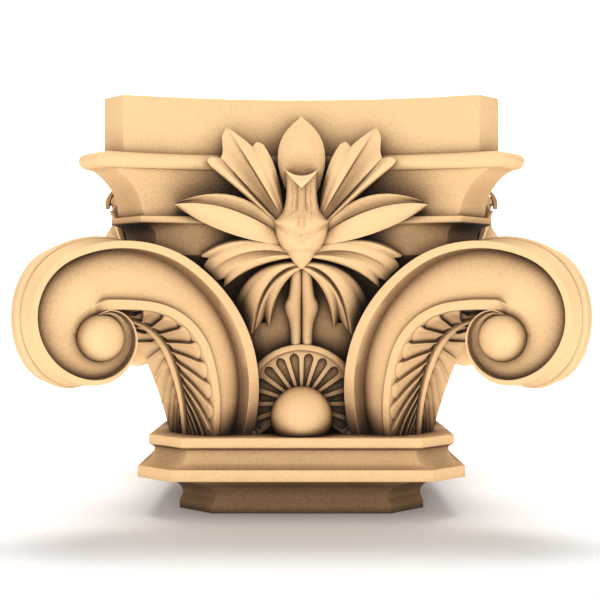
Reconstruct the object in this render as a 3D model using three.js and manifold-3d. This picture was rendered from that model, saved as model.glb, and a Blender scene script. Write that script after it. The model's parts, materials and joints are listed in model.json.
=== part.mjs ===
// A carved stone capital: a chamfered base of three plates, a bell with four corner scrolls,
// a flower over a fluted rosette on each face, and a moulded abacus with hollowed sides.
// It is one block, so it is one closed solid. Millimetres, +Z up, the front face looks along -Y.
import * as THREE from "three";
import Module from "manifold-3d";

const wasm = await Module();
wasm.setup();

// ---- Driving sizes ----
const HEIGHT = 400;
const BASE_TOP = 77.15; // bed of the carving, top of the upper base plate
const TOLERANCE = 0.6; // faces this close to flat are merged
const STONE = 0xe3bd85;

// Plan of a level: half width across the flats, the length cut off each corner, and how far
// the middle of each side is hollowed.
const level = (z, half, cut, hollow = 0) => ({ z, half, cut, hollow });

// ---- Small geometry helpers ----
const rad = THREE.MathUtils.degToRad;
const lerp = THREE.MathUtils.lerp;
const clamp = THREE.MathUtils.clamp;
const ease = (t) => THREE.MathUtils.smoothstep(t, 0, 1);
const steps = (n, make) => Array.from({ length: n + 1 }, (_, i) => make(i / n, i));
const mix = (a, b, t) => a.map((v, i) => lerp(v, b[i], t));

// A closed solid from points and triangles, turned right side out.
function solid(points, triangles) {
  const build = (tris) =>
    new wasm.Manifold(
      new wasm.Mesh({
        numProp: 3,
        vertProperties: new Float32Array(points.flat()),
        triVerts: new Uint32Array(tris.flat()),
      }),
    );
  const made = build(triangles);
  return made.volume() > 0 ? made : build(triangles.map(([a, b, c]) => [a, c, b]));
}

// Closes a grid of points into a solid whose back is one line, with a point behind each row.
function shell(front, back) {
  const rows = front.length;
  const cols = front[0].length;
  const points = [...front.flat(), ...back];
  const at = (i, j) => i * cols + j;
  const behind = (i) => rows * cols + i;
  const triangles = [];
  const quad = (a, b, c, d) => triangles.push([a, b, c], [a, c, d]);
  for (let i = 0; i + 1 < rows; i++) {
    for (let j = 0; j + 1 < cols; j++) {
      quad(at(i, j), at(i, j + 1), at(i + 1, j + 1), at(i + 1, j));
    }
    quad(at(i, 0), at(i + 1, 0), behind(i + 1), behind(i));
    quad(at(i + 1, cols - 1), at(i, cols - 1), behind(i), behind(i + 1));
  }
  for (let j = 0; j + 1 < cols; j++) {
    triangles.push([at(0, j + 1), at(0, j), behind(0)]);
    triangles.push([at(rows - 1, j), at(rows - 1, j + 1), behind(rows - 1)]);
  }
  return solid(points, triangles);
}

// Stacks closed rings of points into a solid with a flat bottom and top.
function stack(rings) {
  const n = rings[0].length;
  const points = rings.flat();
  const triangles = [];
  for (let i = 0; i + 1 < rings.length; i++) {
    for (let j = 0; j < n; j++) {
      const [a, b] = [i * n + j, i * n + ((j + 1) % n)];
      triangles.push([a, b, b + n], [a, b + n, a + n]);
    }
  }
  for (const [ring, turn] of [[0, 1], [rings.length - 1, -1]]) {
    const centre = points.length;
    points.push(rings[ring].reduce((s, p) => s.map((v, k) => v + p[k] / n), [0, 0, 0]));
    for (let j = 0; j < n; j++) {
      const pair = [ring * n + ((j + 1) % n), ring * n + j];
      triangles.push([centre, ...(turn > 0 ? pair : pair.reverse())]);
    }
  }
  return solid(points, triangles);
}

// A run of arcs in a plane, each turning clockwise out of the one before.
// Arcs are [radius, sweep in degrees]; at(s) gives the point s along it and the heading there.
function arcRun([u, v], heading, arcs) {
  const pieces = [];
  let length = 0;
  let h = rad(heading);
  for (const [radius, degrees] of arcs) {
    const centre = [u + radius * Math.sin(h), v - radius * Math.cos(h)];
    pieces.push({ radius, centre, h, from: length });
    length += radius * rad(degrees);
    h -= rad(degrees);
    u = centre[0] - radius * Math.sin(h);
    v = centre[1] + radius * Math.cos(h);
  }
  const at = (s) => {
    const piece = pieces.findLast((p) => p.from <= Math.max(s, 0));
    const turned = piece.h - (s - piece.from) / piece.radius;
    return {
      u: piece.centre[0] - piece.radius * Math.sin(turned),
      v: piece.centre[1] + piece.radius * Math.cos(turned),
      h: turned,
    };
  };
  return { length, at };
}

// ---- Base and abacus ----
// Profile points of a concave quarter: from [half, z] low to [half, z] high.
function cove(low, high, cut, hollow, n, bulgeLow) {
  return steps(n, (t) => {
    const a = (t * Math.PI) / 2;
    const across = bulgeLow ? 1 - Math.sin(a) : 1 - Math.cos(a);
    const up = bulgeLow ? 1 - Math.cos(a) : Math.sin(a);
    const half = bulgeLow
      ? lerp(high.half, low.half, across)
      : lerp(low.half, high.half, across);
    return level(lerp(low.z, high.z, up), half, cut, hollow);
  });
}

const PLATE_CUT = 36;
const BASE = [
  level(0, 123.4, 35.5),
  level(7.8, 123.4, 35.5),
  level(15, 120.4, PLATE_CUT),
  ...cove({ z: 15, half: 120.4 }, { z: 36.5, half: 160.9 }, PLATE_CUT, 0, 4, false).slice(1),
  level(47.75, 160.9, PLATE_CUT),
  ...cove({ z: 47.75, half: 160.9 }, { z: 63, half: 146.4 }, PLATE_CUT, 0, 3, true).slice(1),
  level(65, 146.6, PLATE_CUT),
  level(67.8, 151.2, PLATE_CUT),
  level(BASE_TOP, 151.2, PLATE_CUT),
];

// The bell flares from a round neck to the chamfered square under the abacus.
const BELL_FOOT = 96;
const BELL_TOP = level(269, 170.3, 33, 9);
const BELL = steps(4, (t) => {
  const flare = Math.pow(t, 2.6);
  const half = lerp(BELL_FOOT, BELL_TOP.half, flare);
  const roundCut = 0.55 * half;
  return level(
    lerp(BASE_TOP - 4, 252, t),
    half,
    lerp(roundCut, BELL_TOP.cut, flare),
    lerp(-0.07 * half, BELL_TOP.hollow, flare),
  );
});

const BEAD_RADIUS = 7.7;
const BEAD = steps(3, (t) => {
  const a = rad(lerp(-70, 80, t));
  return level(
    338 + BEAD_RADIUS * Math.sin(a),
    199.6 + BEAD_RADIUS * Math.cos(a),
    22.3,
    35,
  );
});
const CAVETTO_RADIUS = 45;
const CAVETTO = steps(3, (t) => {
  const a = rad(lerp(0, 58, t));
  return level(
    293 + CAVETTO_RADIUS * Math.sin(a),
    176.6 + CAVETTO_RADIUS * (1 - Math.cos(a)),
    lerp(27.8, 24, t),
    lerp(22, 33, t),
  );
});
const ABACUS = [
  ...BELL,
  BELL_TOP,
  ...cove(BELL_TOP, { z: 281, half: 181 }, 33, 9, 2, false).slice(1),
  level(281.9, 182.6, 33.4, 9),
  level(287.8, 182.6, 33.4, 9),
  level(288.4, 176, 29, 16),
  ...CAVETTO,
  ...BEAD,
  level(345.9, 186.6, 21.3, 29),
  level(HEIGHT, 186.6, 21.3, 29),
];

// One level's outline, counter-clockwise, with `cuts` spans along each hollowed side.
function outline({ z, half, cut, hollow }, cuts) {
  const reach = half - cut;
  const side = steps(cuts, (t) => {
    const x = lerp(-reach, reach, t);
    return [x, -half + hollow * (1 - (x / reach) ** 2)];
  });
  const turn = ([x, y], k) => [[x, y], [-y, x], [-x, -y], [y, -x]][k];
  return [0, 1, 2, 3].flatMap((k) => side.map((p) => [...turn(p, k), z]));
}
const block = (levels, cuts) => stack(levels.map((l) => outline(l, cuts)));

// ---- Corner scroll ----
// It is drawn in the upright plane through a corner: u out along the diagonal, v up.
const SCROLL_FOOT = 114.4;
const SOFFIT_FOOT = 155.4;
const FOOT_SINK = 6;
const SCROLL_EDGE = arcRun([SCROLL_FOOT, BASE_TOP], 93.2, [
  [185.8, 61.3],
  [114.4, 56.5],
  [64.6, 105.6],
  [55.5, 35.4],
  [43, 72.5],
  [32.6, 74],
  [25.6, 47],
]);
const SOFFIT_EDGE = arcRun([SOFFIT_FOOT, BASE_TOP], 85.1, [
  [210.8, 22.6],
  [80.1, 57.6],
  [235.8, 9],
]);
const EYE = { u: 284, v: 175, radius: 21.7, sunk: 8 };

// Half the scroll's thickness: it thins out towards the tip, and is set back towards its foot.
function halfThickness(u, v) {
  const near = ease((290 - u) / 110);
  const setBack = 40 * Math.pow(Math.max(0, 265 - v) / 188, 1.4);
  return 121.3 - 0.3 * u - setBack * near;
}


// ---- Corner scroll: its solid ----
const STEM_ROWS = 5;
const CURL_ROWS = 13;
const CROWN = 269; // length along the edge where the stem hands over to the curl
const RIM_RISE = 4; // how far the middle of the rim stands out

// Width of the outer fillet, and the depth of the channel at its outer and inner side.
const outerFillet = (s) => lerp(11, 6, clamp(s / 330, 0, 1)) * (1 - 0.75 * ease((s - 440) / 140));
const channelDepth = (s) => lerp(10, 8.5, clamp(s / CROWN, 0, 1)) * (1 - 0.6 * ease((s - 400) / 180));

// Points of one line across the scroll's side, from its outer edge to `inner`.
function acrossScroll(outer, inner, s, stem, curl) {
  const span = Math.hypot(inner.u - outer.u, inner.v - outer.v);
  const wall = 0.6;
  const outerWidth = Math.min(outerFillet(s), 0.3 * span);
  const innerWidth = Math.min(lerp(5, 9.6, stem), 0.3 * span);
  const deep = channelDepth(s);
  const shallow = lerp(lerp(2.5, 6, stem), Math.min(EYE.sunk, deep), curl);
  const floor = (t) => shallow + (deep - shallow) * Math.pow(1 - t, 1.6);
  const innerLevel = shallow * ease(curl / 0.3);
  const [from, to] = [outerWidth + wall, span - innerWidth - wall];
  const columns = [
    [0, 0],
    [outerWidth, 0],
    ...[0.05, 1].map((t) => [lerp(from, to, t), floor(t)]),
    [lerp(to + wall, span, clamp(curl * 12, 0, 0.8)), innerLevel],
    [span, lerp(0, shallow, clamp(curl * 12, 0, 1))],
  ];
  return columns.map(([d, depth]) => {
    const u = lerp(outer.u, inner.u, d / span);
    const v = lerp(outer.v, inner.v, d / span);
    return [u, v, halfThickness(u, v) - depth];
  });
}

// The point midway across the scroll's thickness on its edge, raised by `rise`.
function onEdge(edge, rise) {
  return [edge.u - Math.sin(edge.h) * rise, edge.v + Math.cos(edge.h) * rise, 0];
}

function scroll() {
  const meeting = SOFFIT_EDGE.at(SOFFIT_EDGE.length);
  const edgeLength = SCROLL_EDGE.length;
  const rows = [];
  for (let i = -1; i <= STEM_ROWS; i++) {
    const t = Math.max(i, 0) / STEM_ROWS;
    const outer = SCROLL_EDGE.at(t * CROWN);
    const inner = SOFFIT_EDGE.at(t * SOFFIT_EDGE.length);
    const sink = i < 0 ? FOOT_SINK : 0;
    outer.v -= sink;
    inner.v -= sink;
    rows.push({ outer, inner, s: t * CROWN, stem: t, curl: 0 });
  }
  const last = rows.length - 1;
  for (let i = 1; i <= CURL_ROWS; i++) {
    const curl = i / CURL_ROWS;
    const s = lerp(CROWN, edgeLength, curl);
    const outer = i === CURL_ROWS ? meeting : SCROLL_EDGE.at(s);
    const reach = Math.hypot(outer.u - EYE.u, outer.v - EYE.v);
    const start = Math.hypot(meeting.u - EYE.u, meeting.v - EYE.v);
    const hub = lerp(start, EYE.radius - 0.7, ease(curl / 0.2)) / reach;
    const inner = { u: lerp(EYE.u, outer.u, hub), v: lerp(EYE.v, outer.v, hub) };
    rows.push({ outer, inner, s, stem: 1, curl });
  }

  const points = [];
  const triangles = [];
  const add = (p) => points.push(p) - 1;
  const quad = (a, b, c, d) => triangles.push([a, b, c], [a, c, d]);
  const mirror = ([u, v, w]) => [u, v, -w];
  const lines = rows.map((r) => acrossScroll(r.outer, r.inner, r.s, r.stem, r.curl));
  const near = lines.map((line) => line.map(add));
  const far = lines.map((line) => line.map((p) => add(mirror(p))));
  const J = near[0].length - 1;
  const N = rows.length - 1;
  near[N][0] = near[last][J];
  far[N][0] = far[last][J];

  // The two edges, as strips from the near side to the far side.
  const strip = (i, column, edge, rise) => [near[i][column], add(onEdge(edge, rise)), far[i][column]];
  const soffit = rows.slice(0, last + 1).map((r, i) => strip(i, J, r.inner, 0));
  const rim = rows.map((r, i) =>
    i === N ? soffit[last] : strip(i, 0, r.outer, RIM_RISE * (1 - ease((r.s - 430) / 110))),
  );

  for (let i = 0; i < N; i++) {
    for (let j = 0; j < J; j++) {
      quad(near[i][j], near[i][j + 1], near[i + 1][j + 1], near[i + 1][j]);
      quad(far[i][j], far[i + 1][j], far[i + 1][j + 1], far[i][j + 1]);
    }
    for (let q = 0; q + 1 < rim[i].length; q++) {
      quad(rim[i][q], rim[i + 1][q], rim[i + 1][q + 1], rim[i][q + 1]);
    }
  }
  for (let i = 0; i < last; i++) {
    for (let q = 0; q + 1 < soffit[i].length; q++) {
      quad(soffit[i + 1][q], soffit[i][q], soffit[i][q + 1], soffit[i + 1][q + 1]);
    }
  }
  // The foot, and the hub under each eye.
  const fan = (loop, centre) =>
    loop.forEach((a, k) => triangles.push([centre, a, loop[(k + 1) % loop.length]]));
  const foot = [
    ...near[0].slice().reverse(),
    ...rim[0].slice(1, -1),
    ...far[0],
    ...soffit[0].slice(1, -1).reverse(),
  ];
  fan(foot, add([0.5 * (SCROLL_FOOT + SOFFIT_FOOT), BASE_TOP - FOOT_SINK, 0]));
  for (const [side, w] of [[near, 1], [far, -1]]) {
    const loop = [...side[N], ...side.slice(last + 1, N).reverse().map((row) => row[J])];
    const hub = add([EYE.u, EYE.v, w * (halfThickness(EYE.u, EYE.v) - EYE.sunk)]);
    fan(w > 0 ? loop : loop.reverse(), hub);
  }
  return solid(points.map(fromCorner), triangles);
}

// From the corner's upright plane (u out, v up, w towards the front) to the part's frame.
function fromCorner([u, v, w]) {
  return [(u - w) * Math.SQRT1_2, -(u + w) * Math.SQRT1_2, v];
}

function ball(radius, centre, segments) {
  return wasm.Manifold.sphere(radius, segments).translate(centre);
}

function eyes() {
  const w = halfThickness(EYE.u, EYE.v) - EYE.sunk;
  return [w, -w].map((side) => ball(EYE.radius, fromCorner([EYE.u, EYE.v, side]), 12));
}

// The corner's frame as a matrix, for solids built in it.
const CORNER = [
  Math.SQRT1_2, -Math.SQRT1_2, 0, 0,
  0, 0, 1, 0,
  -Math.SQRT1_2, -Math.SQRT1_2, 0, 0,
  0, 0, 0, 1,
];

// ---- Leaf hanging under each scroll ----
// A lobe line leaves the midrib and runs down and out to the soffit's edge; `line` is where
// it gets there. Past `last` only the midrib goes on, up into the curl.
const LEAF = { pitch: 23, first: -16, last: 168, end: 290, drop: 64, follow: 0.42, margin: 3.5 };

function leafPoint(line, across, height) {
  const out = Math.abs(across);
  const s = line * out + (LEAF.drop + LEAF.follow * line) * (1 - out);
  const spot = SOFFIT_EDGE.at(s);
  const half = halfThickness(spot.u, spot.v) - LEAF.margin;
  const [nu, nv] = [Math.sin(spot.h), -Math.cos(spot.h)];
  return [spot.u + nu * height, spot.v + nv * height, across * half];
}

// How far across a line reaches before it leaves the leaf or sinks into the base.
function leafReach(line, lift) {
  const start = LEAF.drop + LEAF.follow * line;
  const widest = line > LEAF.last ? 0.2 : 1 - 0.1 * (1 - lift);
  return start > line ? Math.min(widest, (start + FOOT_SINK) / (start - line)) : widest;
}

function leaf() {
  const lines = [];
  for (let line = LEAF.first; line < LEAF.last; line += LEAF.pitch) {
    lines.push([line, 0], [line + 0.94 * LEAF.pitch, 1]);
  }
  lines.push([LEAF.last + 30, 0], [LEAF.end, 0]);
  const front = lines.map(([line, lift]) => {
    const reach = leafReach(line, lift);
    const blade = (a) => 1.5 + 5 * (1 - a) + 3.4 * lift * ease(a / 0.3);
    const right = [
      leafPoint(line, 0.085, 9),
      leafPoint(line, 0.1, 3.5),
      leafPoint(line, reach, blade(reach)),
    ];
    return [...right.map(([u, v, w]) => [u, v, -w]).reverse(), ...right];
  });
  const back = lines.map(([line]) => leafPoint(line, 0, -24));
  return shell(front, back).transform(CORNER);
}

// ---- Flower on each face ----
// Places are [across from the middle, height, distance out from the axis].
// A petal fans out from its root; each vein has the bend it passes, its tip and its relief.
// The stone behind it closes to a ridge, so its margin is thin.
function petal({ root, spread = 3, veins, thick = 12, rows = 2 }) {
  const n = veins.length - 1;
  const front = [];
  const back = [];
  for (let i = 0; i <= rows; i++) {
    const t = i / rows;
    const line = veins.map(({ bend, tip, rise }, k) => {
      const start = [root[0], root[1] + spread * (0.5 - k / n), root[2]];
      const spot = mix(mix(start, bend, t), mix(bend, tip, t), t);
      spot[2] += rise * ease(t / 0.35) * (1 - 0.3 * t);
      return spot;
    });
    const [low, high] = [line[0], line[n]];
    const middle = mix(mix(low, high, 0.5), line[Math.round(n / 2)], 0.5);
    front.push(line.map(([x, z, out]) => [x, -out, z]));
    back.push([middle[0], -Math.min(low[2], high[2]) + thick, middle[1]]);
  }
  return shell(front, back);
}

const vein = (bend, tip, rise) => ({ bend, tip, rise });
const PETALS = {
  upper: {
    root: [21, 284, 190],
    spread: 16,
    thick: 16,
    veins: [
      vein([19, 325, 190], [35, 354, 182], -2),
      vein([32, 330, 191], [45.7, 351.5, 181], 4),
      vein([40, 320, 190], [71.5, 368, 177], 2),
      vein([46, 310, 189], [75.2, 341.5, 184], -2),
      vein([50, 310, 189], [86, 341, 187], 3),
      vein([48, 306, 188], [87.5, 337, 187], -2),
    ],
  },
  side: {
    root: [27, 268, 190],
    spread: 10,
    thick: 14,
    veins: [
      vein([68, 325, 189], [117.5, 299, 187], 0),
      vein([75, 306, 190], [118.3, 297.8, 188], -4),
      vein([75, 300, 191], [118.3, 297.2, 188], 3),
      vein([74, 284, 191], [118, 296.8, 188], 2),
      vein([72, 264, 188], [117, 296.3, 187], -1),
    ],
  },
  lowerSide: {
    root: [12, 250, 195],
    spread: 3,
    thick: 13,
    veins: [
      vein([55, 283, 180], [95, 252, 170], -2),
      vein([55, 274, 182], [95.5, 248, 170], 3),
      vein([53, 260, 179], [86, 233, 163], -3),
      vein([47, 252, 179], [73.5, 231, 160], 2.5),
      vein([43, 250, 176], [74.5, 222, 154.5], 1),
    ],
  },
  lower: {
    root: [4, 241, 190],
    spread: 6,
    thick: 12,
    veins: [
      vein([44, 258, 172], [65, 209, 135], -2),
      vein([41, 249, 177], [54, 191, 127], 3),
      vein([36, 240, 174], [47, 180, 122], -3),
      vein([30, 233, 176], [36.5, 193, 126], 3),
      vein([24, 226, 170], [30.5, 187, 121], -2),
    ],
  },
  centre: {
    root: [0, 285, 184],
    thick: 12,
    veins: [
      vein([-38, 353, 186], [-0.6, 381, 173], 0),
      vein([0, 358, 195], [0, 381.6, 174], 3),
      vein([38, 353, 186], [0.6, 381, 173], 0),
    ],
  },
};

// The bud: rings of [height, half width, depth to the front, centre out], bottom to top.
const BUD = [
  [238, 1, 1, 187],
  [263, 21, 18, 190],
  [278, 25, 22, 190],
  [284, 21.5, 19, 190],
  [299, 15, 14.5, 188],
  [316, 14.2, 17, 188],
  [331, 16.5, 24, 190],
];
function bud() {
  const points = 7;
  const rings = BUD.map(([z, half, depth, out], k) =>
    Array.from({ length: points }, (_, i) => {
      const a = (2 * Math.PI * i) / points - Math.PI / 2;
      const lip = Math.max(0, k - (BUD.length - 2)) * 18 * Math.max(0, -Math.sin(a)) ** 2;
      return [half * Math.cos(a), -out + depth * Math.sin(a), z - lip];
    }),
  );
  return stack(rings);
}

// Two rods side by side from under the bud down to the rosette, with a knuckle part way.
const ROD = [
  [160, 5.6, 108],
  [183, 5.9, 114],
  [203, 8.6, 130],
  [226, 5.5, 158],
  [242, 5, 176],
];
function rod(side) {
  const rings = ROD.map(([z, radius, out]) =>
    Array.from({ length: 5 }, (_, i) => {
      const a = (2 * Math.PI * (i + 0.25)) / 5;
      return [side * radius * 0.97 + radius * Math.cos(a), -out + radius * Math.sin(a), z];
    }),
  );
  return stack(rings);
}

// ---- Rosette ----
// A half round disc standing on the base; its flutes are hollows between thin ridges.
const ROSETTE = { centre: 107, radius: 59.5, face: 112, rim: 3, flutes: 20, inner: 30, outer: 50.5 };
const BOSS = { radius: 30.6, out: 118, height: 94.2 };
function rosette() {
  const half = Math.floor(0.35 * 2 * ROSETTE.flutes);
  const front = steps(2 * half, (_, i) => {
    const a = (Math.PI * (i - half)) / ROSETTE.flutes;
    const sunk = (i - half) % 2 ? 5.5 : 0.5;
    const place = (radius, out) => [radius * Math.sin(a), -out, ROSETTE.centre + radius * Math.cos(a)];
    return [
      place(ROSETTE.radius, 90),
      place(ROSETTE.radius, ROSETTE.face + ROSETTE.rim),
      place(ROSETTE.outer, ROSETTE.face + ROSETTE.rim - sunk),
      place(ROSETTE.inner, ROSETTE.face - sunk),
    ];
  });
  const back = front.map(() => [0, -90, ROSETTE.centre]);
  return [shell(front, back), ball(BOSS.radius, [0, -BOSS.out, BOSS.height], 12)];
}

// ---- The capital ----
function mirrored(piece) {
  return piece.mirror([1, 0, 0]);
}

function capital() {
  const corner = [scroll(), ...eyes(), leaf()];
  const side = ["upper", "side", "lowerSide", "lower"].map((name) => petal(PETALS[name]));
  const face = [
    ...side,
    ...side.map(mirrored),
    petal(PETALS.centre),
    bud(),
    rod(1),
    rod(-1),
    ...rosette(),
  ];
  const quarter = wasm.Manifold.union([...corner, ...face]);
  const turned = [0, 90, 180, 270].map((a) => quarter.rotate([0, 0, a]));
  const floor = wasm.Manifold.cube([800, 800, HEIGHT], true).translate([0, 0, HEIGHT / 2]);
  const whole = wasm.Manifold.union([block(BASE, 1), block(ABACUS, 4), ...turned]);
  // The outer skin alone: pockets closed in where pieces overlap are solid stone.
  const skins = whole.intersect(floor).simplify(TOLERANCE).decompose();
  return skins.sort((a, b) => b.volume() - a.volume())[0];
}

// The solid as a flat-shaded three.js mesh.
function meshOf(name, shape, colour) {
  const { numProp, vertProperties, triVerts } = shape.getMesh();
  const places = new Float32Array((vertProperties.length / numProp) * 3);
  for (let i = 0; i < places.length / 3; i++) {
    places.set(vertProperties.subarray(i * numProp, i * numProp + 3), i * 3);
  }
  const geometry = new THREE.BufferGeometry();
  geometry.setAttribute("position", new THREE.BufferAttribute(places, 3));
  geometry.setIndex(new THREE.BufferAttribute(triVerts, 1));
  geometry.computeVertexNormals();
  const material = new THREE.MeshStandardMaterial({ color: colour, roughness: 0.85, metalness: 0 });
  const mesh = new THREE.Mesh(geometry, material);
  mesh.name = name;
  return mesh;
}

const group = new THREE.Group();
group.add(meshOf("capital", capital(), STONE));
export default group;
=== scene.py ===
"""Dresses a carved stone capital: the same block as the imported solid, with its full carving and stone.

Sizes are millimetres of a capital 400 high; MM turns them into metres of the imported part.
The front face looks along -Y and +Z is up.
"""

import json
import math

import bmesh
import bpy
from bpy.props import FloatProperty, FloatVectorProperty, IntProperty, PointerProperty
from bpy.types import Operator, Panel, PropertyGroup
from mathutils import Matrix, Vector

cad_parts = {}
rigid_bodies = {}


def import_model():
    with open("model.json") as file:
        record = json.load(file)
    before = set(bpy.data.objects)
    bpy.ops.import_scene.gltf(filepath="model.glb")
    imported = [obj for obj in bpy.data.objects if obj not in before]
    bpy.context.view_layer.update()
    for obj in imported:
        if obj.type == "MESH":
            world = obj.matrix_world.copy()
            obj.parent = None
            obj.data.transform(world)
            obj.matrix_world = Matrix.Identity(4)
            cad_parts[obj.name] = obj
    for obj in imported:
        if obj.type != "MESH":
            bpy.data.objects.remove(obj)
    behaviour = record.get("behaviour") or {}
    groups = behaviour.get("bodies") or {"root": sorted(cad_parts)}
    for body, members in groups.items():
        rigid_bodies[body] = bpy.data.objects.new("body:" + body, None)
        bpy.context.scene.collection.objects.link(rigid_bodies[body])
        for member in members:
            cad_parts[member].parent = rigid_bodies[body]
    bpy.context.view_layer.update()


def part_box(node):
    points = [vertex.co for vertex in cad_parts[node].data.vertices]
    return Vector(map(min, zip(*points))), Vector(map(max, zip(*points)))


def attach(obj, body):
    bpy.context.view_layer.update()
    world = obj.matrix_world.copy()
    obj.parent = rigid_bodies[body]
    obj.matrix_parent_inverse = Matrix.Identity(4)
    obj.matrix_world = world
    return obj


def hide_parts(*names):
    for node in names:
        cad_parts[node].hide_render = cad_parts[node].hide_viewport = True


bl_info = {
    "name": "Corinthian Capital",
    "version": (1, 0, 0),
    "blender": (4, 5, 0),
    "location": "View3D > Sidebar > Capital",
    "description": "Builds a carved stone capital with corner scrolls, leaves, flowers and rosettes",
    "category": "Object",
}

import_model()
NODE = "capital"
LOW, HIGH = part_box(NODE)
HEIGHT = 400
MM = (HIGH[2] - LOW[2]) / HEIGHT
BASE_TOP = 77.15  # top of the upper base plate, where the carving starts
PARTS = "Carving parts"


# ---- Numbers and curves ----
def lerp(a, b, t):
    return a + (b - a) * t


def clamp(value, low=0.0, high=1.0):
    return max(low, min(high, value))


def ease(t):
    t = clamp(t)
    return t * t * (3 - 2 * t)


def hump(value, centre, width):
    return math.exp(-(((value - centre) / width) ** 2))


def mix(a, b, t):
    return [lerp(p, q, t) for p, q in zip(a, b)]


def hermite(a, b, slope_a, slope_b, t):
    t2, t3 = t * t, t * t * t
    return (
        (2 * t3 - 3 * t2 + 1) * a + (t3 - 2 * t2 + t) * slope_a
        + (3 * t2 - 2 * t3) * b + (t3 - t2) * slope_b
    )


def through(rows, spans):
    """Rows of numbers on a smooth curve through the given rows, with spans between each two."""
    found = []
    for k in range(len(rows) - 1):
        before, a, b, after = (rows[clamp_index(k + step, rows)] for step in (-1, 0, 1, 2))
        for step in range(spans):
            t = step / spans
            found.append([
                hermite(q, r, (r - p) / 2, (s - q) / 2, t) for p, q, r, s in zip(before, a, b, after)
            ])
    return found + [list(rows[-1])]


def clamp_index(k, rows):
    return max(0, min(len(rows) - 1, k))


class ArcRun:
    """Arcs in a plane, each turning clockwise out of the one before: (radius, sweep in degrees)."""

    def __init__(self, start, heading, arcs):
        self.pieces = []
        self.length = 0
        u, v = start
        h = math.radians(heading)
        for radius, degrees in arcs:
            centre = (u + radius * math.sin(h), v - radius * math.cos(h))
            self.pieces.append((self.length, radius, centre, h))
            self.length += radius * math.radians(degrees)
            h -= math.radians(degrees)
            u = centre[0] - radius * math.sin(h)
            v = centre[1] + radius * math.cos(h)

    def at(self, s):
        """The point s along the run, and the heading there."""
        reached = [piece for piece in self.pieces if piece[0] <= max(s, 0)]
        start, radius, centre, heading = reached[-1]
        turned = heading - (s - start) / radius
        return centre[0] - radius * math.sin(turned), centre[1] + radius * math.cos(turned), turned


# ---- Building skins ----
def add_skin(target, rows, columns, place):
    """Adds a closed skin: a grid whose corner (i, j) goes to place(i, j), welded and capped."""
    skin = bmesh.new()
    grid = bmesh.ops.create_grid(skin, x_segments=columns, y_segments=rows, size=0.5)
    for vert in grid["verts"]:
        i = round((vert.co.y + 0.5) * rows)
        j = round((vert.co.x + 0.5) * columns)
        vert.co = Vector(place(i, j)) * MM
    bmesh.ops.remove_doubles(skin, verts=skin.verts, dist=0.02 * MM)
    rims = [edge for edge in skin.edges if edge.is_boundary]
    if rims:
        bmesh.ops.holes_fill(skin, edges=rims)
    bmesh.ops.recalc_face_normals(skin, faces=skin.faces)
    pour(skin, target)


def add_ball(target, radius, centre):
    skin = bmesh.new()
    bmesh.ops.create_uvsphere(skin, u_segments=36, v_segments=22, radius=radius * MM)
    bmesh.ops.translate(skin, verts=skin.verts, vec=Vector(centre) * MM)
    pour(skin, target)


def pour(skin, target):
    """Moves a bmesh's faces into another bmesh."""
    mesh = bpy.data.meshes.new("skin")
    skin.to_mesh(mesh)
    skin.free()
    target.from_mesh(mesh)
    bpy.data.meshes.remove(mesh)


def round_arrises(bm, width, sharper_than=30):
    """Rounds the edges where two faces meet at a clear angle."""
    limit = math.radians(sharper_than)
    arrises = [e for e in bm.edges if e.is_manifold and e.calc_face_angle() > limit]
    bmesh.ops.bevel(
        bm, geom=arrises, offset=width, offset_type="OFFSET", segments=2, profile=0.5,
        affect="EDGES", clamp_overlap=True, material=-1,
    )


def turn_four_times(bm):
    """Repeats what is built on the other three sides."""
    everything = bm.verts[:] + bm.edges[:] + bm.faces[:]
    bmesh.ops.spin(
        bm, geom=everything, cent=(0, 0, 0), axis=(0, 0, 1), angle=math.radians(270),
        steps=3, use_duplicate=True,
    )


def part_object(name, bm):
    """An object for one group of carving, kept in the parts collection until it is joined."""
    mesh = bpy.data.meshes.new(name)
    bm.to_mesh(mesh)
    bm.free()
    part = bpy.data.objects.new(name, mesh)
    home = bpy.data.collections.get(PARTS)
    if home is None:
        home = bpy.data.collections.new(PARTS)
        bpy.context.scene.collection.children.link(home)
    home.objects.link(part)
    return part


# ---- Base, bell and slab ----
# A level is height, half width across the flats, the length cut off each corner, and how far
# the middle of each side is hollowed.
def quarter_hollow(low, high, cut, hollow, spans, belly_low=False):
    """Levels of a quarter hollow between (height, half width) low and high."""
    levels = []
    for k in range(1, spans + 1):
        a = math.radians(90 * k / spans)
        if belly_low:
            half = lerp(high[1], low[1], 1 - math.sin(a))
            up = 1 - math.cos(a)
        else:
            half = lerp(low[1], high[1], 1 - math.cos(a))
            up = math.sin(a)
        levels.append((lerp(low[0], high[0], up), half, cut, hollow))
    return levels


def base_levels():
    cut = 36
    return [
        (0, 123.4, 35.5, 0),
        (7.8, 123.4, 35.5, 0),
        (15, 120.4, cut, 0),
        *quarter_hollow((15, 120.4), (36.5, 160.9), cut, 0, 12),
        (47.75, 160.9, cut, 0),
        *quarter_hollow((47.75, 160.9), (63, 146.4), cut, 0, 10, belly_low=True),
        (65, 146.6, cut, 0),
        (67.8, 151.2, cut, 0),
        (BASE_TOP, 151.2, cut, 0),
    ]


BELL_FOOT_HALF = 88
BELL_TOP_LEVEL = (269, 170.3, 33, 9)
BEAD_RADIUS = 7.7
CAVETTO_RADIUS = 45


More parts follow.
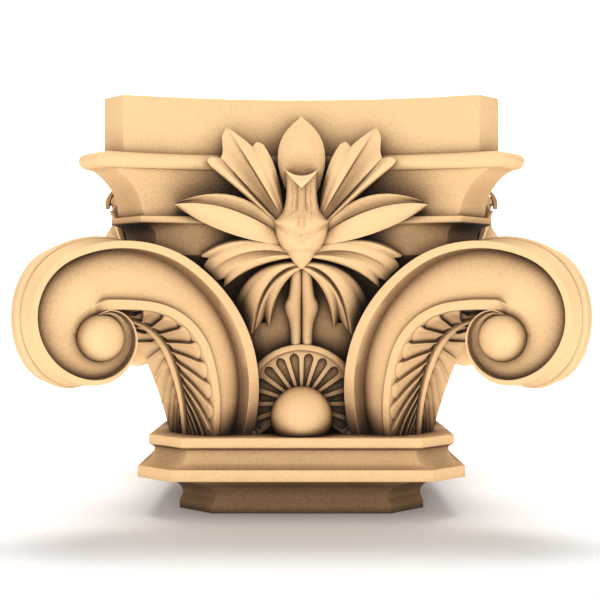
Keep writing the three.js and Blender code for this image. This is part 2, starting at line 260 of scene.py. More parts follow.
def bell_and_slab_levels():
    levels = []
    for k in range(15):
        t = k / 14
        flare = t ** 3
        half = lerp(BELL_FOOT_HALF, BELL_TOP_LEVEL[1], flare)
        levels.append((
            lerp(BASE_TOP - 4, 252, t),
            half,
            lerp(0.55 * half, BELL_TOP_LEVEL[2], flare),
            lerp(-0.04 * half, BELL_TOP_LEVEL[3], flare),
        ))
    levels.append(BELL_TOP_LEVEL)
    levels += quarter_hollow(BELL_TOP_LEVEL, (281, 181), 33, 9, 6)
    levels += [(281.9, 182.6, 33.4, 9), (287.8, 182.6, 33.4, 9), (288.4, 176, 29, 16)]
    for k in range(9):
        t = k / 8
        a = math.radians(58 * t)
        half = 176.6 + CAVETTO_RADIUS * (1 - math.cos(a))
        levels.append((293 + CAVETTO_RADIUS * math.sin(a), half, lerp(27.8, 24, t), lerp(22, 33, t)))
    for k in range(11):
        a = math.radians(lerp(-70, 80, k / 10))
        levels.append((338 + BEAD_RADIUS * math.sin(a), 199.6 + BEAD_RADIUS * math.cos(a), 22.3, 35))
    return levels + [(345.9, 186.6, 21.3, 29), (HEIGHT, 186.6, 21.3, 29)]


def outline_point(level, index, cuts):
    """Corner `index` of a level's outline, counter-clockwise, with `cuts` spans along each side."""
    z, half, cut, hollow = level
    side, step = divmod(index % (4 * (cuts + 1)), cuts + 1)
    reach = half - cut
    x = lerp(-reach, reach, step / cuts)
    y = -half + hollow * (1 - (x / reach) ** 2)
    for _ in range(side):
        x, y = -y, x
    return x, y, z


def add_block(bm, levels, cuts):
    add_skin(bm, len(levels) - 1, 4 * (cuts + 1), lambda i, j: outline_point(levels[i], j, cuts))


# ---- Corner scroll ----
# It is drawn in the upright plane through a corner: u out along the diagonal, v up, w across.
SCROLL_EDGE = ArcRun((114.4, BASE_TOP), 93.2, [
    (185.8, 61.3), (114.4, 56.5), (64.6, 105.6), (55.5, 35.4), (43, 72.5), (32.6, 74), (25.6, 47),
])
SOFFIT_EDGE = ArcRun((155.4, BASE_TOP), 85.1, [(210.8, 22.6), (80.1, 57.6), (235.8, 9)])
EYE_U, EYE_V, EYE_RADIUS, EYE_SUNK = 284, 175, 21.7, 8
HUB_RADIUS = EYE_RADIUS - 0.7
CROWN = 269  # length along the edge where the stem hands over to the curl
FOOT_SINK = 6
STEM_ROWS = 34
CURL_ROWS = 78
TAIL_ROWS = 6
TAIL_TURN = math.radians(28)
RIM_RISE = 4
ROUND = 0.5  # radius of the worn edges
CHANNEL_AT_FOOT, CHANNEL_AT_CROWN = 13, 12.5
CHANNEL_FADE, CHANNEL_FADE_FROM, CHANNEL_FADE_OVER = 0.6, 400, 180


def half_thickness(u, v):
    near = ease((290 - u) / 110)
    return 121.3 - 0.3 * u - 40 * (max(0, 265 - v) / 188) ** 1.4 * near


def from_corner(point):
    u, v, w = point
    return (u - w) * math.sqrt(0.5), -(u + w) * math.sqrt(0.5), v


def outer_fillet(s):
    return lerp(11, 6, clamp(s / 330)) * (1 - 0.75 * ease((s - 440) / 140))


def channel_depth(s):
    """How deep the channel is sunk below the rim: it grows shallow towards the eye."""
    depth = lerp(CHANNEL_AT_FOOT, CHANNEL_AT_CROWN, clamp(s / CROWN))
    return depth * (1 - CHANNEL_FADE * ease((s - CHANNEL_FADE_FROM) / CHANNEL_FADE_OVER))


def scroll_stations():
    """Places along the scroll: outer and inner edge point, length, and progress of stem and curl."""
    stations = []
    for k in range(-1, STEM_ROWS + 1):
        t = max(k, 0) / STEM_ROWS
        sink = FOOT_SINK if k < 0 else 0
        outer = SCROLL_EDGE.at(t * CROWN)
        inner = SOFFIT_EDGE.at(t * SOFFIT_EDGE.length)
        stations.append(((outer[0], outer[1] - sink, outer[2]), (inner[0], inner[1] - sink), t * CROWN, t, 0))
    meeting = SOFFIT_EDGE.at(SOFFIT_EDGE.length)
    start_reach = math.hypot(meeting[0] - EYE_U, meeting[1] - EYE_V)
    for k in range(1, CURL_ROWS + 1):
        curl = k / CURL_ROWS
        s = lerp(CROWN, SCROLL_EDGE.length, curl)
        outer = SCROLL_EDGE.at(s)
        reach = math.hypot(outer[0] - EYE_U, outer[1] - EYE_V)
        part = lerp(start_reach, HUB_RADIUS, ease(curl / 0.12)) / reach
        inner = (lerp(EYE_U, outer[0], part), lerp(EYE_V, outer[1], part))
        stations.append((outer, inner, s, 1, curl))
    last = stations[-1][0]
    angle = math.atan2(last[1] - EYE_V, last[0] - EYE_U)
    reach = math.hypot(last[0] - EYE_U, last[1] - EYE_V)
    for k in range(1, TAIL_ROWS + 1):
        t = k / TAIL_ROWS
        a = angle - TAIL_TURN * t
        far = lerp(reach, HUB_RADIUS + 0.3, t)
        outer = (EYE_U + far * math.cos(a), EYE_V + far * math.sin(a), a - math.pi / 2)
        inner = (EYE_U + HUB_RADIUS * math.cos(a), EYE_V + HUB_RADIUS * math.sin(a))
        stations.append((outer, inner, SCROLL_EDGE.length, 1, 1 + t))
    return stations


def side_profile(span, s, stem, curl):
    """Distance from the outer edge and depth below the fillets, across one side of the scroll."""
    width = min(outer_fillet(s), 0.45 * span)
    inner_width = min(lerp(5, 9.8, stem), 0.3 * span)
    if 0 < curl <= 1:
        inner_width = min(lerp(9.8, 5, ease(curl / 0.5)), 0.4 * span)
    deep = min(channel_depth(s), 0.5 * span)
    step = lerp(2.8, 6, stem)
    ridge = EYE_SUNK * ease(curl / 0.5)
    shallow = max(ridge, lerp(step, ridge, ease(curl / 0.16)))
    hub = EYE_SUNK * ease(curl / 0.1) if curl <= 1 else 0
    if curl > 0.8:
        fade = ease((curl - 0.8) / 0.2)
        shallow = min(shallow, lerp(shallow, 0.3 * span, fade))
        ridge = min(ridge, shallow)
        hub = lerp(hub, min(hub, 0.5 * span), fade)
    proud = -0.7 if curl > 1 else 0
    wall = min(1, 0.1 * span)
    start, end = width + wall, span - inner_width - wall
    profile = [(0, ROUND), (min(ROUND, 0.3 * width), 0), (width - min(ROUND, 0.3 * width), 0), (width, ROUND)]
    profile.append((width + 0.4 * wall, 0.8 * deep))
    for k in range(13):
        t = k / 12
        profile.append((lerp(start, end, t), shallow + (deep - shallow) * (1 - t) ** 1.7))
    sink = min(ROUND, 0.3 * inner_width)
    profile += [(end + 0.7 * wall, lerp(shallow, ridge, 0.8)), (end + wall + sink, ridge)]
    profile += [(span - sink, lerp(ridge, hub, 0.6)), (span, max(hub, ROUND if curl == 0 else hub))]
    return [(d, depth + proud) for d, depth in profile]


RIM_FRACTIONS = (0.96, 0.86, 0.7, 0.52, 0.36, 0.24)
RIM_BEAD = ((5.4, 0), (4.2, -1.1), (3.1, 0.4), (1.7, 1.5), (0, 1.9))


def rim_profile(half, fade):
    """Place across the thickness and rise of the rim, from the near side to the far side."""
    near = []
    for q in RIM_FRACTIONS:
        near.append((q * half, RIM_RISE * fade * (1 - q) ** 1.5))
    for w, rise in RIM_BEAD:
        near.append((w, fade * (RIM_RISE * (1 - w / half) ** 1.5 + rise)))
    return near + [(-w, rise) for w, rise in reversed(near[:-1])]


SOFFIT_FRACTIONS = (0.93, 0.5, 0, -0.5, -0.93)


def scroll_section(station):
    """The closed section of the scroll at a station, as corner points."""
    outer, inner, s, stem, curl = station
    span = math.hypot(inner[0] - outer[0], inner[1] - outer[1])
    near = []
    for d, depth in side_profile(span, s, stem, curl):
        u, v = lerp(outer[0], inner[0], d / span), lerp(outer[1], inner[1], d / span)
        near.append((u, v, half_thickness(u, v) - depth))
    half_in = near[-1][2]
    soffit = [(inner[0], inner[1], q * half_in) for q in SOFFIT_FRACTIONS]
    far = [(u, v, -w) for u, v, w in reversed(near)]
    fade = 1 - ease((s - 430) / 110)
    half_out = near[0][2]
    out_u, out_v = -math.sin(outer[2]), math.cos(outer[2])
    rim = [
        (outer[0] + out_u * rise, outer[1] + out_v * rise, w)
        for w, rise in reversed(rim_profile(half_out, fade))
    ]
    return near + soffit + far + rim


def add_scroll(bm):
    sections = [scroll_section(station) for station in scroll_stations()]
    count = len(sections[0])
    add_skin(bm, len(sections) - 1, count, lambda i, j: from_corner(sections[i][j % count]))
    eye_w = half_thickness(EYE_U, EYE_V) - EYE_SUNK
    for w in (eye_w, -eye_w):
        add_ball(bm, EYE_RADIUS, from_corner((EYE_U, EYE_V, w)))


# ---- Leaf hanging under each scroll ----
# A lobe line leaves the midrib and runs down and out to the soffit's edge; `line` is the length
# along the edge where it gets there. Past the last lobe only the midrib goes on.
# The first lobe lines end below the top of the base, so the midrib reaches down to it.
LEAF_FIRST = -177
LEAF_LOBES = 15
LEAF_END = 296
LEAF_TAIL_ROWS = 8
LEAF_ROOT = -20  # how deep the leaf is set into the scroll
LEAF_DROP = 64
LEAF_FOLLOW = 0.42
LEAF_MARGIN = 3.2
MIDRIB_HALF_LOW, MIDRIB_HALF_HIGH = 3, 4.6
MIDRIB_SWELL_FROM, MIDRIB_SWELL_OVER = -120, 200
MIDRIB_TOP, MIDRIB_DIP, MIDRIB_DIP_FROM, MIDRIB_DIP_OVER = 9.3, 2.6, 20, 150
GROUND_EDGE, GROUND_RISE, GROUND_VALLEY = 0.9, 4.6, 3.2
LOBE_STEPS = (0, 0.04, 0.16, 0.3, 0.44, 0.58, 0.7, 0.8, 0.87, 0.92, 0.96, 0.985)
LEAF_ACROSS = (0.0, 0.06, 0.14, 0.24, 0.36, 0.5, 0.64, 0.76, 0.86, 0.93, 0.975, 1.0)


def leaf_point(line, across, height):
    out = abs(across)
    s = line * out + (LEAF_DROP + LEAF_FOLLOW * line) * (1 - out)
    u, v, heading = SOFFIT_EDGE.at(s)
    half = half_thickness(u, v) - LEAF_MARGIN
    return u + math.sin(heading) * height, v - math.cos(heading) * height, across * half


def lobe_reach(line, phase, last_line):
    """How far across a lobe line runs: round lobe tips, and nothing past the last lobe."""
    start = LEAF_DROP + LEAF_FOLLOW * line
    tip = 1 - 0.17 * (1 - phase) ** 2.2 - 0.05 * ease((phase - 0.88) / 0.12)
    reach = tip * (1 - 0.75 * ease((line - last_line) / 20))
    if start > line:
        reach = min(reach, (start + FOOT_SINK) / (start - line))
    return reach


def lobe_height(phase, along, relief):
    """Rise of a lobe over the leaf: it lifts towards its lower edge, which has a thin lip."""
    body = phase ** 1.3 * ease(along / 0.25) * (1 - 0.25 * along)
    lip = 0.28 * hump(phase, 0.9, 0.07) * ease(along / 0.3)
    return relief * (body + lip)


def add_leaf(bm, pitch, relief):
    """One leaf as a closed skin: a section along each lobe line, then the bare end of the midrib."""
    lines = []
    for k in range(LEAF_LOBES):
        lines += [(LEAF_FIRST + (k + step) * pitch, step) for step in LOBE_STEPS]
    last_line = LEAF_FIRST + LEAF_LOBES * pitch
    tail = range(LEAF_TAIL_ROWS + 1)
    lines += [(lerp(last_line, LEAF_END, k / LEAF_TAIL_ROWS), 0) for k in tail]

    def side(line, phase):
        reach = lobe_reach(line, phase, last_line)
        swell = ease((line - MIDRIB_SWELL_FROM) / MIDRIB_SWELL_OVER)
        rib = lerp(MIDRIB_HALF_LOW, MIDRIB_HALF_HIGH, swell)
        s = LEAF_DROP + LEAF_FOLLOW * line
        half = half_thickness(*SOFFIT_EDGE.at(s)[:2]) - LEAF_MARGIN
        dip = math.sin(math.pi * clamp((s - MIDRIB_DIP_FROM) / MIDRIB_DIP_OVER))
        top = MIDRIB_TOP - MIDRIB_DIP * dip
        points = [leaf_point(line, 0, top + 0.2)]
        points += [leaf_point(line, w / half, h) for w, h in ((rib - 0.8, top), (rib, top - 0.9))]
        foot = (rib + 0.6) / half
        for a in LEAF_ACROSS:
            along = lerp(foot, max(reach, foot + 0.01), a)
            ground = GROUND_EDGE + GROUND_RISE * (1 - along) ** 1.5 - GROUND_VALLEY * hump(a, 0, 0.1)
            edge = 1 - ease((a - 0.93) / 0.07)
            points.append(leaf_point(line, along, ground + edge * lobe_height(phase, along, relief)))
        rest = max(reach, foot + 0.01) + 0.02
        points.append(leaf_point(line, rest, 0.2))
        return points

    sections = []
    for line, phase in lines:
        right = side(line, phase)
        left = [(u, v, -w) for u, v, w in reversed(right[1:])]
        sections.append([leaf_point(line, 0, LEAF_ROOT)] + left + right)
    count = len(sections[0])
    add_skin(bm, len(sections) - 1, count, lambda i, j: from_corner(sections[i][j % count]))


# ---- Flower on each face ----
# Places are (across from the middle, height, distance out from the axis). A vein runs from the
# petal's root past its bend to its tip; it has its relief there, and may be a corner of the outline.
def vein(bend, tip, rise, corner=False):
    return {"row": [*bend, *tip, rise], "corner": corner}


PETAL_ROWS = 12
PETAL_RELIEF = 0.65
MARGIN_DROPS = (0, 1.3, 4.2)  # how far the rounded margin falls back, ring by ring

CENTRE_PETAL = {
    "root": (0, 285, 186), "spread": 4, "thick": 14, "fade": 0,
    "veins": [
        vein((-44, 350, 184), (-0.8, 381, 172), -1),
        vein((-22, 354, 191), (-0.5, 381.5, 173), 1),
        vein((0, 357, 195), (0, 381.8, 174), 2),
        vein((22, 354, 191), (0.5, 381.5, 173), 1),
        vein((44, 350, 184), (0.8, 381, 172), -1),
    ],
}
SIDE_PETALS = {
    "upper": {
        "root": (16, 280, 189), "spread": 14, "thick": 17, "fade": 0.75,
        "veins": [
            vein((20, 333, 189), (36, 354.6, 181), -1),
            vein((25, 330, 191), (41.5, 356.6, 180), 2),
            vein((31, 329, 191), (45.7, 352.3, 180), 3, corner=True),
            vein((35, 326, 192), (56.5, 361.4, 179), 4),
            vein((37, 320, 192), (68.6, 369.9, 177), 3.5),
            vein((38, 318, 190), (70.8, 369.6, 177), -3.5),
            vein((41, 315, 188), (74.2, 362, 178), -3),
            vein((45, 311, 189), (73.4, 348, 182), -0.5),
            vein((46, 310, 190), (75, 341.8, 183), 1.5, corner=True),
            vein((47, 309, 188), (76, 341.4, 183), -0.5),
            vein((50, 308, 190), (83, 342, 186), 1.8),
            vein((51, 307, 189), (87.4, 338.4, 187), 0.5),
            vein((51.5, 306, 187), (84, 333, 186), -1.5),
        ],
    },
    "side": {
        "root": (17, 267, 188), "spread": 15, "thick": 15, "fade": 0.3,
        "veins": [
            vein((58, 325, 188), (117, 299, 187), -1),
            vein((60, 321, 189), (117.4, 298.7, 187.5), 0),
            vein((65, 311, 187), (117.6, 298.4, 188), -3.5),
            vein((67, 306.5, 188), (117.7, 298.1, 188), -4),
            vein((68, 304, 191), (117.6, 297.9, 188), 3),
            vein((72, 292, 192), (117.2, 297.5, 188), 3.5),
            vein((76, 276, 190), (116.8, 297, 187.5), 1),
            vein((78, 268, 187), (116.2, 296.4, 187), -2),
        ],
    },
    "lower_side": {
        "root": (4, 251, 191), "spread": 4, "thick": 14, "fade": 0.5,
        "veins": [
            vein((48, 281.5, 180), (91, 255.5, 170), -2),
            vein((50, 279, 182), (94.3, 250.6, 171), 1.5),
            vein((51, 274, 183), (87, 249, 169), 2.5, corner=True),
            vein((53, 268, 183), (92, 241.5, 167), 2.5),
            vein((53, 265, 183), (87, 236, 165), 2.2),
            vein((53, 263, 180), (85.5, 234.5, 164), -2),
            vein((51, 258, 181), (80.5, 228.6, 161), 0),
            vein((49, 254, 182), (72.6, 230.6, 160), 2.5, corner=True),
            vein((48, 248, 179), (74.3, 221.8, 156), 1),
            vein((46, 245, 176), (70, 225, 155), -2),
        ],
    },
    "lower": {
        "root": (-1.5, 242, 187), "spread": 5, "thick": 13, "fade": 0.4,
        "veins": [
            vein((46, 251, 173), (63.5, 211, 137), -2),
            vein((45, 249, 175), (65.2, 207, 134), 1.5),
            vein((44, 247, 177), (60.5, 200, 131), 3, corner=True),
            vein((43, 245, 178), (58, 191, 128), 3.2),
            vein((41, 243, 178), (51, 176.5, 122), 2.5),
            vein((39, 241, 177), (49, 177, 122), 1.5),
            vein((38, 239.5, 173), (47.2, 178.4, 122), -2.5),
            vein((35, 236, 175), (45, 181, 123), 0),
            vein((32, 233, 177), (36.8, 192.8, 126), 3, corner=True),
            vein((29, 230, 177), (32.5, 183, 122), 2.5),
            vein((25, 226, 172), (30.4, 188, 123), -2),
        ],
    },
}


def fine_veins(veins):
    """Veins on a smooth curve through the given ones, breaking at corners."""
    rows = []
    last = len(veins) - 1
    for k in range(last):
        a, b = veins[k]["row"], veins[k + 1]["row"]
        before = a if k == 0 or veins[k]["corner"] else veins[k - 1]["row"]
        after = b if k + 1 == last or veins[k + 1]["corner"] else veins[k + 2]["row"]
        gap = math.hypot(b[3] - a[3], b[4] - a[4])
        spans = 1 if gap < 0.4 else 2 if gap < 3 else 4
        for step in range(spans):
            t = step / spans
            rows.append([
                hermite(q, r, (r - p) / 2, (s - q) / 2, t) for p, q, r, s in zip(before, a, b, after)
            ])
    return rows + [veins[last]["row"]]


def add_petal(bm, petal, side=1):
    """A fanned petal with a rounded margin, closed to a ridge behind."""
    veins = fine_veins(petal["veins"])
    last = len(veins) - 1
    rings = len(MARGIN_DROPS) - 1
    root = petal["root"]

    def spot(k, t):
        row = veins[k]
        start = (root[0], root[1] + petal["spread"] * (0.5 - k / last), root[2])
        bend, tip, rise = row[0:3], row[3:6], row[6]
        place = mix(mix(start, bend, t), mix(bend, tip, t), t)
        place[2] += PETAL_RELIEF * rise * ease(t / 0.3) * (1 - petal["fade"] * ease((t - 0.5) / 0.5))
        return place

    def place(i, j):
        t = min(i, PETAL_ROWS) / PETAL_ROWS
        middle = mix(mix(spot(0, t), spot(last, t), 0.5), spot(last // 2, t), 0.5)
        if j == 0 or j == last + 2 * rings + 2:
            back = min(spot(0, t)[2], spot(last, t)[2]) - petal["thick"]
            return side * middle[0], -back, middle[1]
        k = j - 1 - rings
        ring = max(-k, k - last, i - PETAL_ROWS, 0)
        point = spot(int(clamp(k, 0, last)), t)
        inset = 0.03 if ring == rings else 0
        x, z = lerp(point[0], middle[0], inset), lerp(point[1], middle[1], inset)
        return side * x, -(point[2] - MARGIN_DROPS[ring]), z

    add_skin(bm, PETAL_ROWS + rings, last + 2 * rings + 2, place)


# The bud, bottom to top: height, half width, depth to the front, distance of its middle out.
BUD = (
    (238, 1, 1, 187),
    (245, 8, 7, 188),
    (252, 12.5, 11, 189),
    (257, 17.5, 15, 190),
    (266, 22.3, 19, 190),
    (275, 24.2, 21, 190),
    (281, 24.6, 21.5, 190),
    (285, 21.8, 19, 190),
    (291, 17.4, 16, 189.5),
    (300, 15, 14.5, 189),
    (312, 14, 15.5, 189),
    (322, 14.3, 18, 190),
    (328, 15.4, 20, 190),
)
BUD_COLUMNS = 48
COLLAR_LOW, COLLAR_RISE, COLLAR_HALF = 266, 16, 24
LIP_TOP, LIP_DROP, LIP_HALF, LIP_OUT = 328.4, 18, 15.4, 205


def bud_relief(x, z, front):
    """Rise of the bud's surface: its collar with a knob, its flutes and the groove under the cup."""
    collar_z = COLLAR_LOW + COLLAR_RISE * abs(x) / COLLAR_HALF
    rise = 2.2 * hump(z, collar_z, 2.4) - 1.1 * hump(z, collar_z - 4.6, 1.5)
    rise += 2.4 * hump(z, COLLAR_LOW + 1, 3.6) * hump(x, 0, 2.6)
    trumpet = ease((z - collar_z - 5) / 6) * (1 - ease((z - 320) / 8))
    rise += trumpet * (2.4 * hump(x, 0, 1.9) - 1.5 * hump(abs(x), 4, 1.5) - 1.6 * hump(abs(x), 9.6, 1.4))
    rise -= 0.9 * hump(z, 253, 1.1)
    return rise * front


def add_bud(bm):
    rings = through(BUD, 4)

    def place(i, j):
        z, half, depth, out = rings[i]
        a = 2 * math.pi * j / BUD_COLUMNS
        x, forward = half * math.sin(a), depth * math.cos(a)
        swell = 1 + bud_relief(x, z, ease(math.cos(a) * 3)) / max(depth, 4)
        lip = LIP_DROP * 0.6 * ease((z - 312) / 16) * max(0, math.cos(a)) ** 2
        return x * swell, -(out + forward * swell), z - lip

    add_skin(bm, len(rings) - 1, BUD_COLUMNS, place)


def add_lip(bm):
    """The turned-down lip at the bud's mouth, a curved triangle with its point down."""
    across, down = 16, 6

    def place(i, j):
        ring = 1 if i in (0, down + 2) or j in (0, across + 2) else 0
        p = 2 * clamp((j - 1) / across) - 1
        q = clamp((i - 1) / down)
        top = LIP_TOP - 7 * (1 - p * p)
        low = LIP_TOP - LIP_DROP * (1 - abs(p)) ** 0.8 - 0.4
        out = LIP_OUT + (8.5 + 1.5 * math.sin(math.pi * q)) * (1 - p * p) ** 0.7 - 2.5 * (1 - q)
        return LIP_HALF * p * (1 - 0.03 * ring), -(out - 4 * ring), lerp(top, low, q)

    add_skin(bm, down + 2, across + 2, place)


# One of the two rods under the bud: height, radius, distance out.
ROD = (
    (158, 5.6, 107), (172, 5.6, 110), (182, 5.9, 114), (190, 6.7, 118.5), (197, 8, 124.5),
    (203, 8.8, 130), (208, 8.2, 136), (214, 6.6, 143), (224, 5.6, 157), (234, 5.2, 169), (243, 5, 178),
)


def add_rod(bm, side):
    rings = through(ROD, 3)
    columns = 18

    def place(i, j):
        z, radius, out = rings[i]
        a = 2 * math.pi * j / columns
        return side * radius * 0.97 + radius * math.cos(a), -(out + radius * math.sin(a)), z

    add_skin(bm, len(rings) - 1, columns, place)


# ---- Rosette ----
ROSETTE_HEIGHT = 107
ROSETTE_FACE = 112
ROSETTE_ARC = 0.7  # share of the full circle that stands clear of the base
FLUTE_END, FLUTE_ROUND, FLUTE_ROOT, FLUTE_ROOT_HALF = 45.4, 4.9, 16, 1.2
FLUTE_DEPTH = 4.5
RIM_RINGS = ((59.5, -30), (59.5, 1.6), (59, 2.6), (57.8, 3.2), (55.4, 3.2), (53.6, 2.6), (52.8, 1.2), (52, 0))
FACE_RADII = (51, 50.25, 49.9, 49.2, 48, 46.4, 44.5, 41, 36, 31, 25, 19, 14)
CELL = ((-1, 0, 0), (1, -1, 0), (0.9, -1, 1), (0.5, -1, 1), (0, 0, 1), (0.5, 1, 1), (0.9, 1, 1), (1, 1, 0))


def flute_half_width(radius):
    if radius > FLUTE_END:
        return math.sqrt(max(0, FLUTE_ROUND ** 2 - (radius - FLUTE_END) ** 2))
    t = (radius - FLUTE_ROOT) / (FLUTE_END - FLUTE_ROOT)
    return lerp(FLUTE_ROOT_HALF, FLUTE_ROUND, clamp(t))


def add_rosette(bm, flutes):
    cells = round(ROSETTE_ARC * flutes / 2) * 2
    stations = [(r, rise, False) for r, rise in RIM_RINGS] + [(r, 0, True) for r in FACE_RADII]
    pitch = 2 * math.pi / flutes

    def place(i, j):
        if i == len(stations):
            return 0, -(ROSETTE_FACE - 30), ROSETTE_HEIGHT
        radius, rise, fluted = stations[i]
        cell, step = divmod(j, len(CELL))
        share, way, sunk = CELL[step]
        middle = (cell - cells / 2 + 0.5) * pitch
        half = max(flute_half_width(radius), 0.25) / radius
        angle = middle - pitch / 2 if share < 0 else middle + way * share * half
        open_flute = fluted and flute_half_width(radius) > 0.6
        depth = FLUTE_DEPTH if sunk and open_flute else 0
        out = ROSETTE_FACE + rise - depth
        return radius * math.sin(angle), -out, ROSETTE_HEIGHT + radius * math.cos(angle)

    add_skin(bm, len(stations), cells * len(CELL), place)
    add_ball(bm, 30.6, (0, -118, 94.2))


# ---- Stone ----
GRAIN_SIZE, CLOUD_SIZE = 1.5, 70
TOOTH_DEPTH = 0.25
# Painted shade: two reaches of occlusion are mixed and darken the stone's colour, the wide one in the
# hollows, the tight one along the creases.
WIDE_SAMPLES, TIGHT_SAMPLES = 12, 8
WIDE_SHARE, TIGHT_SHARE = 0.45, 0.55
TIGHT_REACH = 0.5  # of the wide reach
SHUT_IN, IN_THE_OPEN = 0.26, 0.97
class Wire:
    """A shader value: arithmetic on it adds the nodes that work it out."""

    def __init__(self, tree, socket):
        self.tree = tree
        self.socket = socket

    def maths(self, operation, *values):
        return add_node(self.tree, "ShaderNodeMath", {"operation": operation}, values)

    def __add__(self, other):
        return self.maths("ADD", self, other)

    def __radd__(self, other):
        return self.maths("ADD", other, self)

    def __sub__(self, other):
        return self.maths("SUBTRACT", self, other)

    def __rsub__(self, other):
        return self.maths("SUBTRACT", other, self)

    def __mul__(self, other):
        return self.maths("MULTIPLY", self, other)

    def __rmul__(self, other):
        return self.maths("MULTIPLY", other, self)

    def __pow__(self, other):
        return self.maths("POWER", self, other)


def add_node(tree, kind, settings=None, values=(), output=0):
    """Adds a node, sets it, fills or links its sockets, and returns one output as a Wire."""
    node = tree.nodes.new(kind)
    for name, value in (settings or {}).items():
        setattr(node, name, value)
    pairs = values.items() if isinstance(values, dict) else enumerate(values)
    for key, value in pairs:
        if isinstance(value, Wire):
            tree.links.new(value.socket, node.inputs[key])
        else:
            node.inputs[key].default_value = value
    return Wire(tree, node.outputs[output])


def blend_colours(tree, factor, first, second):
    mixed = add_node(
        tree, "ShaderNodeMix", {"data_type": "RGBA"}, {"Factor": factor, 6: first, 7: second}, output=2,
    )
    return mixed


def noise(tree, place, scale, detail=2.0, roughness=0.5):
    values = {"Vector": place, "Scale": scale, "Detail": detail, "Roughness": roughness}
    return add_node(tree, "ShaderNodeTexNoise", None, values)


def span(value, low, high):
    """A value stretched so that low becomes 0 and high becomes 1, held inside that."""
    return add_node(value.tree, "ShaderNodeMapRange", None, {0: value, 1: low, 2: high, 3: 0.0, 4: 1.0})


def occlusion(tree, distance, samples):
    settings = {"samples": samples}
    return add_node(tree, "ShaderNodeAmbientOcclusion", settings, {"Distance": distance}, output=1)


def stone_material(look):
    """Warm buff stone: fine grain, slow cloudy tone, and painted shade that darkens the deep carving."""
    material = bpy.data.materials.new("buff stone")
    material.use_nodes = True
    tree = material.node_tree
    shader = tree.nodes["Principled BSDF"]
    place = add_node(tree, "ShaderNodeTexCoord", output=3)
    grain = noise(tree, place, 1 / (GRAIN_SIZE * MM), detail=3, roughness=0.7)
    cloud = noise(tree, place, 1 / (CLOUD_SIZE * MM), detail=4, roughness=0.55)
    wide = occlusion(tree, look.recess_reach, WIDE_SAMPLES)
    tight = occlusion(tree, look.recess_reach * TIGHT_REACH, TIGHT_SAMPLES)
    open_face = span(wide * WIDE_SHARE + tight * TIGHT_SHARE, SHUT_IN, IN_THE_OPEN)
    # Painted shade: the occlusion darkens the base colour in recesses and creases, and is mixed with the real
    # cloudy tone and grain.
    painted_shading = open_face ** look.recess_gamma
    tone_and_painted_shade = painted_shading * (1 + look.cloud * (cloud - 0.5))
    tone_and_painted_shade = span(tone_and_painted_shade + look.grain * (grain - 0.5) * (0.35 + 0.65 * painted_shading), 0.0, 1.0)
    # Painted shade: the recess and half-depth colours are shaded tones of the same stone, picked by the
    # occlusion.
    shaded = blend_colours(tree, span(tone_and_painted_shade, 0.0, 0.45), (*look.deep, 1), (*look.middle, 1))
    colour = blend_colours(tree, span(tone_and_painted_shade, 0.4, 1.0), shaded, (*look.pale, 1))
    bump = add_node(
        tree, "ShaderNodeBump", None,
        {"Strength": look.tooth, "Distance": TOOTH_DEPTH * MM, "Height": grain + cloud * 0.4},
    )
    tree.links.new(colour.socket, shader.inputs["Base Color"])
    tree.links.new((0.82 + 0.12 * grain).socket, shader.inputs["Roughness"])
    tree.links.new(bump.socket, shader.inputs["Normal"])
    shader.inputs["Specular IOR Level"].default_value = 0.25
    return material


# ---- What a user can change ----
class CapitalLook(PropertyGroup):
    pale: FloatVectorProperty(
        name="Open faces", description="Colour of the stone on open faces", subtype="COLOR",
        size=3, min=0, max=1, default=(0.90, 0.60, 0.31),
    )
    # Painted shade: the stone in partial shade, laid where the carving is part way shut in.
    middle: FloatVectorProperty(
        name="Half depth", description="Colour of the stone part way into the carving", subtype="COLOR",
        size=3, min=0, max=1, default=(0.36, 0.205, 0.098),
    )
    # Painted shade: near-black shade laid into the deepest carving.
    deep: FloatVectorProperty(
        name="Recesses", description="Colour settled in the deepest carving", subtype="COLOR",
        size=3, min=0, max=1, default=(0.012, 0.007, 0.004),
    )
    # Reach and strength of the painted shade in the recesses.
    recess_reach: FloatProperty(
        name="Recess reach", description="How far away stone still shelters a recess", subtype="DISTANCE",
        unit="LENGTH", min=0.001, default=64 * MM,
    )
    recess_gamma: FloatProperty(
        name="Recess strength", description="How strongly recesses darken", min=0.1, default=1.45,
    )
    grain: FloatProperty(name="Grain", description="Contrast of the fine speckle", min=0, default=0.6)
    cloud: FloatProperty(name="Cloud", description="Contrast of the slow cloudy tone", min=0, default=0.18)
    tooth: FloatProperty(name="Tooth", description="Roughness that can be felt", min=0, max=1, default=0.25)


class CapitalCarving(PropertyGroup):
    arris: FloatProperty(
        name="Edge rounding", description="Width of the rounded edges of plates and slab",
        subtype="DISTANCE", unit="LENGTH", min=0, default=0.7 * MM,
    )
    leaf_pitch: FloatProperty(
        name="Lobe spacing", description="Distance between leaf lobes, in millimetres", min=10, default=23,
    )
    leaf_relief: FloatProperty(
        name="Lobe relief", description="Rise of a leaf lobe, in millimetres", min=0, default=3.6,
    )
    flutes: IntProperty(name="Flutes", description="Flutes in a full rosette", min=8, default=20)


class CAPITAL_OT_block(Operator):
    """Base plates, bell and top slab"""
    bl_idname = "capital.block"
    bl_label = "Block"

    def execute(self, context):
        bm = bmesh.new()
        add_block(bm, base_levels(), 1)
        add_block(bm, bell_and_slab_levels(), 20)
        round_arrises(bm, context.scene.capital_carving.arris)
        part_object("block", bm)
        return {"FINISHED"}


class CAPITAL_OT_scrolls(Operator):
    """Corner scrolls with their eyes"""
    bl_idname = "capital.scrolls"
    bl_label = "Scrolls"

    def execute(self, context):
        bm = bmesh.new()
        add_scroll(bm)
        turn_four_times(bm)
        part_object("scrolls", bm)
        return {"FINISHED"}


